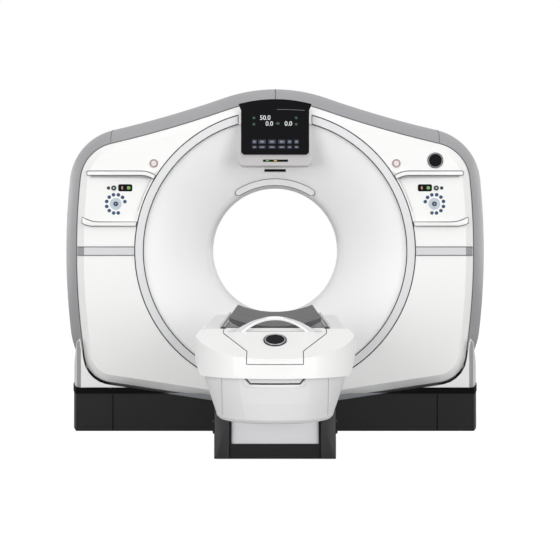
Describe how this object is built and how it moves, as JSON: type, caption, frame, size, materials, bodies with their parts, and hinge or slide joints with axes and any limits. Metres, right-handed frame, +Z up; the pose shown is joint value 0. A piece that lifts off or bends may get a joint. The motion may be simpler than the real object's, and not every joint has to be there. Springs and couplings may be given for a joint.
{
  "type": "ct scanner",
  "caption": "Tilting CT scanner: barrel-sided gantry with a funnel-shaped bore and a rotating tube and detector inside, and a lifting patient table with a sliding cradle.",
  "frame": {"origin": "on the floor under the isocentre, at the centre of the gantry's anchor bolts", "axes": "+Z up, +Y from the patient table into the bore, +X to the right seen from the table's foot end"},
  "size_m": [2.2938, 2.948, 1.828],
  "materials": {
    "white_cover": "satin",
    "grey_cover": "satin",
    "ring_white": "satin",
    "scan_window": "matt film over a thin liner",
    "display_glass": "gloss, opaque",
    "base_black": "textured black",
    "seal_black": "matt",
    "shroud_grey": "satin",
    "cradle_grey": "satin laminate",
    "handle_grey": "satin",
    "rail_white": "anodised",
    "frame_paint": "primer grey",
    "bare_steel": "ground",
    "motor_paint": "satin",
    "slip_brass": "turned",
    "insulator": "matt",
    "tube_metal": "cast and machined",
    "push_button_pink": "gloss",
    "dial_button_blue": "gloss",
    "ring_button_grey": "gloss"
  },
  "bodies": {
    "base": {"base_frame": "frame_paint", "base_seal": "seal_black", "pylons": "frame_paint", "trunnion_bearings": "bare_steel", "tilt_gearmotor": "motor_paint", "plinth_front": "base_black", "plinth_rear": "base_black", "plinth_ends": "base_black", "leg_covers": "white_cover", "link_duct": "base_black", "table_base": "base_black", "shroud_lower": "shroud_grey", "lift_column_lower": "frame_paint"},
    "gantry": {"tilt_frame": "frame_paint", "trunnion_shafts": "bare_steel", "bearing_outer_ring": "bare_steel", "drive_stator": "motor_paint", "brush_block": "insulator", "front_cover": "white_cover", "rear_cover": "white_cover", "top_covers": "grey_cover", "side_cover_left": "grey_cover", "side_cover_right": "grey_cover", "belly_cover": "grey_cover", "front_ring": "ring_white", "front_funnel": "ring_white", "rear_funnel": "ring_white", "bore_liners": "ring_white", "scan_window": "scan_window", "bore_trim": "ring_white", "display_housing": "ring_white", "display_glass": "display_glass", "panel_left": "white_cover", "panel_right": "white_cover"},
    "rotor": {"rotor_drum": "frame_paint", "bearing_inner_ring": "bare_steel", "xray_tube": "tube_metal", "collimator": "tube_metal", "hv_generator": "tube_metal", "detector_arc": "tube_metal", "counterweight": "bare_steel", "slip_ring": "slip_brass"},
    "table_top": {"table_frame": "frame_paint", "table_cover": "white_cover", "table_boot": "white_cover", "side_rails": "rail_white", "shroud_upper": "shroud_grey", "lift_column_upper": "frame_paint"},
    "lift_middle": {"shroud_middle": "shroud_grey", "lift_column_middle": "frame_paint"},
    "cradle_slider": {"cradle": "cradle_grey", "cradle_end_cover": "white_cover", "cradle_handle": "handle_grey", "carriage": "frame_paint"},
    "push_button_left_body": {"push_button_left": "push_button_pink"},
    "push_button_right_body": {"push_button_right": "push_button_pink"},
    "dial_button_left_body": {"dial_button_left": "dial_button_blue"},
    "dial_button_right_body": {"dial_button_right": "dial_button_blue"},
    "ring_button_left_body": {"ring_button_left": "ring_button_grey"},
    "ring_button_right_body": {"ring_button_right": "ring_button_grey"}
  },
  "joints": [
    {"name": "gantry_tilt", "type": "hinge", "parent": "base", "child": "gantry", "pos_m": [0, 0, 0.94], "axis": [-1, 0, 0], "range_deg": [-30, 30]},
    {"name": "rotor_spin", "type": "hinge", "parent": "gantry", "child": "rotor", "pos_m": [0, 0, 0.94], "axis": [0, 1, 0], "continuous": true},
    {"name": "table_lift", "type": "slide", "parent": "base", "child": "table_top", "axis": [0, 0, 1], "range_m": [-0.2, 0.22]},
    {"name": "lift_stage", "type": "slide", "parent": "base", "child": "lift_middle", "axis": [0, 0, 1], "range_m": [-0.1, 0.11]},
    {"name": "cradle_slide", "type": "slide", "parent": "table_top", "child": "cradle_slider", "axis": [0, 1, 0], "range_m": [0, 1.3]},
    {"name": "push_button_left_press", "type": "slide", "parent": "gantry", "child": "push_button_left_body", "axis": [0, 1, 0], "range_m": [0, 0.003], "stiffness_N_per_m": 500},
    {"name": "push_button_right_press", "type": "slide", "parent": "gantry", "child": "push_button_right_body", "axis": [0, 1, 0], "range_m": [0, 0.003], "stiffness_N_per_m": 500},
    {"name": "dial_button_left_press", "type": "slide", "parent": "gantry", "child": "dial_button_left_body", "axis": [0, 1, 0], "range_m": [0, 0.003], "stiffness_N_per_m": 500},
    {"name": "dial_button_right_press", "type": "slide", "parent": "gantry", "child": "dial_button_right_body", "axis": [0, 1, 0], "range_m": [0, 0.003], "stiffness_N_per_m": 500},
    {"name": "ring_button_left_press", "type": "slide", "parent": "gantry", "child": "ring_button_left_body", "axis": [0, 1, 0], "range_m": [0, 0.003], "stiffness_N_per_m": 500},
    {"name": "ring_button_right_press", "type": "slide", "parent": "gantry", "child": "ring_button_right_body", "axis": [0, 1, 0], "range_m": [0, 0.003], "stiffness_N_per_m": 500}
  ],
  "couplings": [
    {"joint": "lift_stage", "follows": "table_lift", "ratio": 0.5}
  ]
}
